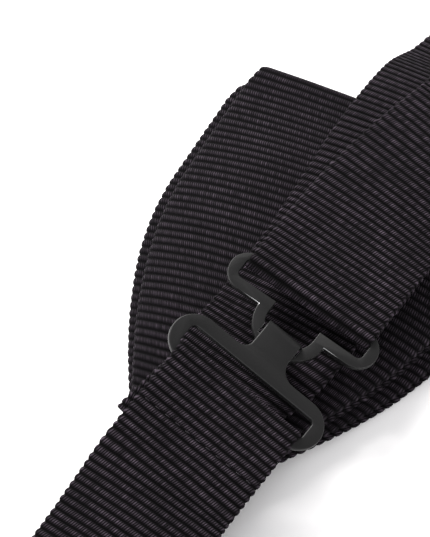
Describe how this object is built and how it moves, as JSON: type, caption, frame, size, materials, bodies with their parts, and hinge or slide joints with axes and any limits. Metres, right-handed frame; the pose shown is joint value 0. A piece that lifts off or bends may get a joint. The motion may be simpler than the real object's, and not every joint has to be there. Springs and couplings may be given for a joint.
{
  "type": "bow tie",
  "caption": "Ready-tied slim bow tie in black ribbed grosgrain, lying on its face with its adjustable neckband closed by a flat metal hook and eye.",
  "frame": {"origin": "middle of the knot's front face, which lies on the table", "axes": "+X along the bow towards the clasp, +Y across the bow, +Z from the bow's face to its back"},
  "size_m": [0.2266, 0.0463, 0.0174],
  "materials": {
    "bow_ribbon": "ribbed grosgrain, matt",
    "ribbon": "ribbed grosgrain, matt",
    "interlining": "stiff woven lining",
    "thread": "spun polyester thread",
    "black_metal": "satin black coating"
  },
  "bodies": {
    "bow": {"front_bow": "bow_ribbon", "front_bow_interlining": "interlining", "back_bow": "bow_ribbon", "back_bow_interlining": "interlining", "gathering_thread": "thread", "knot_wrap": "bow_ribbon", "knot_interlining": "interlining", "knot_stitches": "thread", "neckband_under_run": "ribbon", "neckband_left_turn": "ribbon", "neckband_hook_run": "ribbon", "neckband_right_turn": "ribbon", "neckband_lower_run": "ribbon"},
    "hook_end": {"hook": "black_metal", "hook_band_fold": "ribbon", "hook_stitches": "thread"},
    "eye_end": {"eye": "black_metal", "eye_band_fold": "ribbon", "eye_band_upper_run": "ribbon"},
    "adjuster": {"adjuster_slide": "black_metal", "adjuster_band_fold": "ribbon", "adjuster_stitches": "thread"}
  },
  "joints": [
    {"name": "hook_tilt", "type": "hinge", "parent": "bow", "child": "hook_end", "pos_m": [0.02122, -0.00518, 0.01202], "axis": [0.0951, 0.9227, 0.3737], "range_deg": [0, 6]},
    {"name": "eye_slack", "type": "slide", "parent": "bow", "child": "eye_end", "axis": [0.9948, -0.0958, 0.0349], "range_m": [-0.0008, 0.0008]},
    {"name": "adjuster_travel", "type": "slide", "parent": "eye_end", "child": "adjuster", "axis": [1, 0, 0], "range_m": [0, 0.012]}
  ]
}
